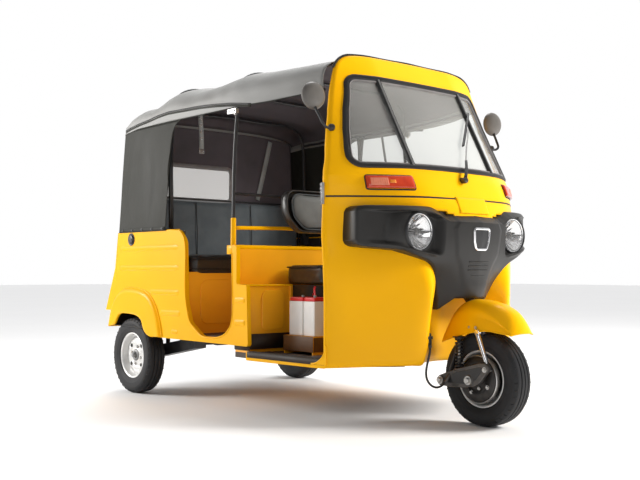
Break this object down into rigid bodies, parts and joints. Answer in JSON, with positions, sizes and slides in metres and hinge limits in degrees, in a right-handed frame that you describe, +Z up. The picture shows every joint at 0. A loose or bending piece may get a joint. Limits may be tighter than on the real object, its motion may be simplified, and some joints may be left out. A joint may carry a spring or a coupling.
{
  "type": "auto rickshaw",
  "caption": "Three-wheeled passenger vehicle with open sides, a fabric canopy on hoops, a steered front wheel and a bench seat over a rear engine.",
  "frame": {"origin": "centre of the footprint box, on the ground", "axes": "+X to the left side of the vehicle, -Y forward, +Z up"},
  "size_m": [1.346, 2.5989, 1.6905],
  "materials": {
    "body_yellow": "glossy yellow paint",
    "mask_grey": "satin dark grey plastic",
    "lamp": "clear lens over reflector",
    "signal": "red-orange lens",
    "tail_lens": "red lens",
    "screen": "clear safety glass",
    "window": "clear soft sheet",
    "dark_plastic": "black plastic",
    "dark_steel": "dark chassis paint",
    "floor": "brown floor paint",
    "vinyl_black": "black seat vinyl",
    "vinyl_grey": "grey seat vinyl",
    "vinyl_blue": "blue-grey seat vinyl",
    "canopy_fabric": "coated grey hood cloth",
    "battery_white": "white case",
    "engine": "cast metal",
    "bare_steel": "bare metal",
    "rim_silver": "silver paint",
    "tyre": "tread rubber",
    "hose": "black hose",
    "plate": "blank white plate",
    "mirror_black": "black mirror head"
  },
  "bodies": {
    "body": {"front_apron": "body_yellow", "front_mask": "mask_grey", "windscreen_frame": "body_yellow", "windscreen_glass": "screen", "headlamps": "lamp", "indicators": "signal", "steering_head": "dark_steel", "dashboard": "dark_plastic", "wiper": "dark_plastic", "mirrors": "mirror_black", "cab_floor": "floor", "sills": "body_yellow", "driver_seat_base": "body_yellow", "driver_cushion": "vinyl_black", "driver_backrest": "vinyl_grey", "batteries": "battery_white", "brake_pedal": "dark_steel", "side_panel_left": "body_yellow", "side_panel_right": "body_yellow", "inner_body": "body_yellow", "passenger_cushion": "vinyl_black", "passenger_backrest": "vinyl_blue", "rear_panel": "body_yellow", "rear_fenders": "body_yellow", "canopy": "canopy_fabric", "rear_window": "window", "canopy_frame": "dark_steel", "chassis_frame": "dark_steel", "engine_block": "engine", "rear_suspension_arms": "dark_steel", "drive_shafts": "dark_steel", "rear_dampers": "dark_steel", "exhaust_muffler": "dark_steel", "rear_bumper": "dark_steel", "tail_lamps": "tail_lens", "number_plate": "plate", "brake_hose": "hose", "hose_gland": "dark_plastic"},
    "steering": {"steering_column": "dark_steel", "handlebar": "dark_plastic", "front_fender": "body_yellow", "front_link": "dark_steel", "front_spring": "dark_steel", "front_damper": "bare_steel"},
    "front_wheel": {"front_tyre": "tyre", "front_rim": "rim_silver"},
    "rear_wheel_left": {"rear_tyre_left": "tyre", "rear_rim_left": "rim_silver"},
    "rear_wheel_right": {"rear_tyre_right": "tyre", "rear_rim_right": "rim_silver"},
    "rear_lid": {"engine_lid": "body_yellow"}
  },
  "joints": [
    {"name": "steering_turn", "type": "hinge", "parent": "body", "child": "steering", "pos_m": [0, -1.0105, 0.52], "axis": [0, 0.4067, 0.9135], "range_deg": [-40, 40], "deforming": ["brake_hose"]},
    {"name": "front_wheel_spin", "type": "hinge", "parent": "steering", "child": "front_wheel", "pos_m": [0, -1.0855, 0.207], "axis": [1, 0, 0], "continuous": true},
    {"name": "rear_wheel_left_spin", "type": "hinge", "parent": "body", "child": "rear_wheel_left", "pos_m": [0.575, 0.9145, 0.207], "axis": [1, 0, 0], "continuous": true},
    {"name": "rear_wheel_right_spin", "type": "hinge", "parent": "body", "child": "rear_wheel_right", "pos_m": [-0.575, 0.9145, 0.207], "axis": [1, 0, 0], "continuous": true},
    {"name": "engine_lid_open", "type": "hinge", "parent": "body", "child": "rear_lid", "pos_m": [0, 1.09173, 0.68094], "axis": [1, 0, 0], "range_deg": [0, 80]}
  ]
}
